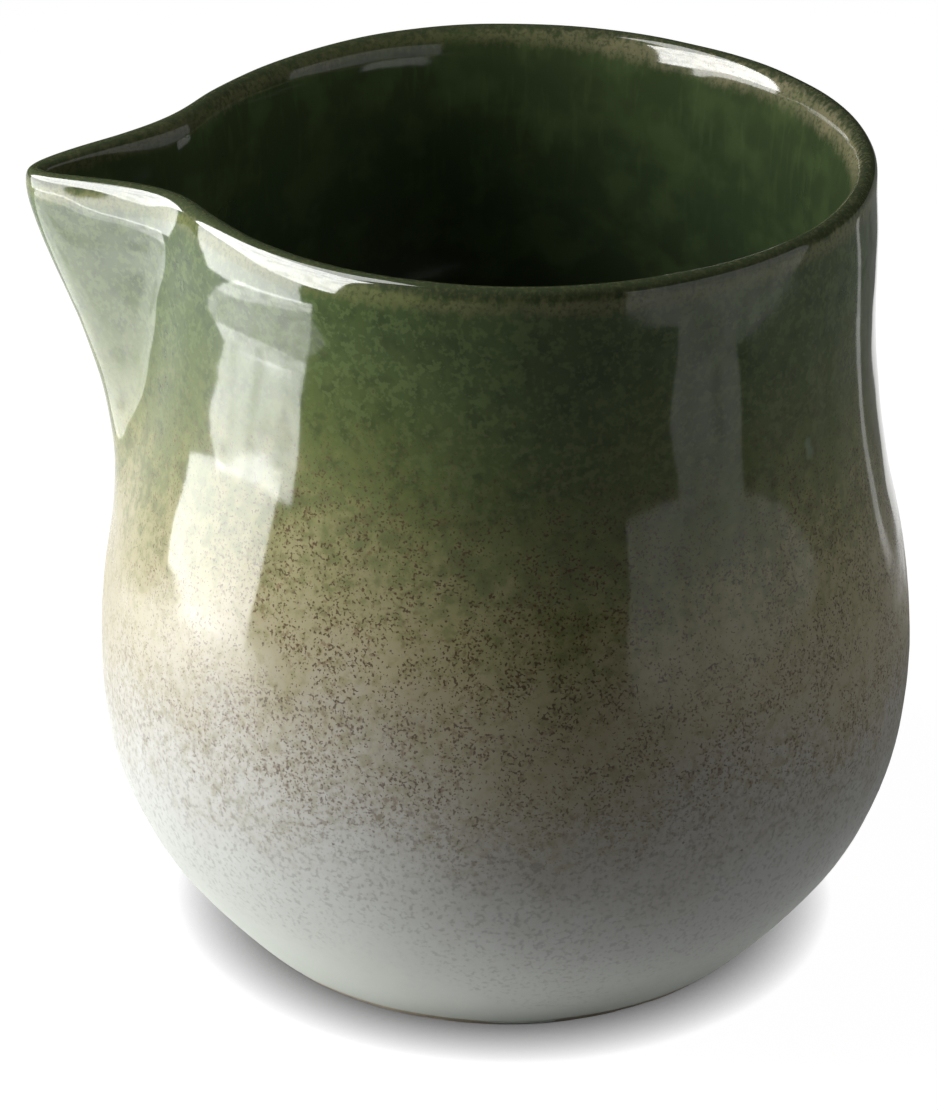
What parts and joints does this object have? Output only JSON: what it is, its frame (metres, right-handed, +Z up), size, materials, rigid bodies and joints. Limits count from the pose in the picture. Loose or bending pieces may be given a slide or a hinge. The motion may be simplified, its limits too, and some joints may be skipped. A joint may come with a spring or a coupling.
{
  "type": "milk jug",
  "caption": "Small handleless pouring jug, round-bellied with a wide mouth and a pulled spout, glazed green over pale grey on a turned foot.",
  "frame": {"origin": "on the table plane, under the middle of the whole jug with its spout", "axes": "+Z up out of the mouth, -X towards the tip of the spout, +Y across"},
  "size_m": [0.0936, 0.0872, 0.088],
  "materials": {
    "stoneware": "bare fired stoneware, matt",
    "pale_glaze": "pale grey satin glaze with fine specks",
    "green_glaze": "glossy deep green glaze, speckled brown towards its lower edge",
    "lip_glaze": "glossy olive-brown glaze, thin over the lip",
    "liner_glaze": "glossy deep green glaze"
  },
  "bodies": {
    "root": {"clay_body": "stoneware", "lower_glaze": "pale_glaze", "upper_glaze": "green_glaze", "lip_glaze": "lip_glaze", "liner_glaze": "liner_glaze", "recess_glaze": "pale_glaze"}
  },
  "joints": []
}
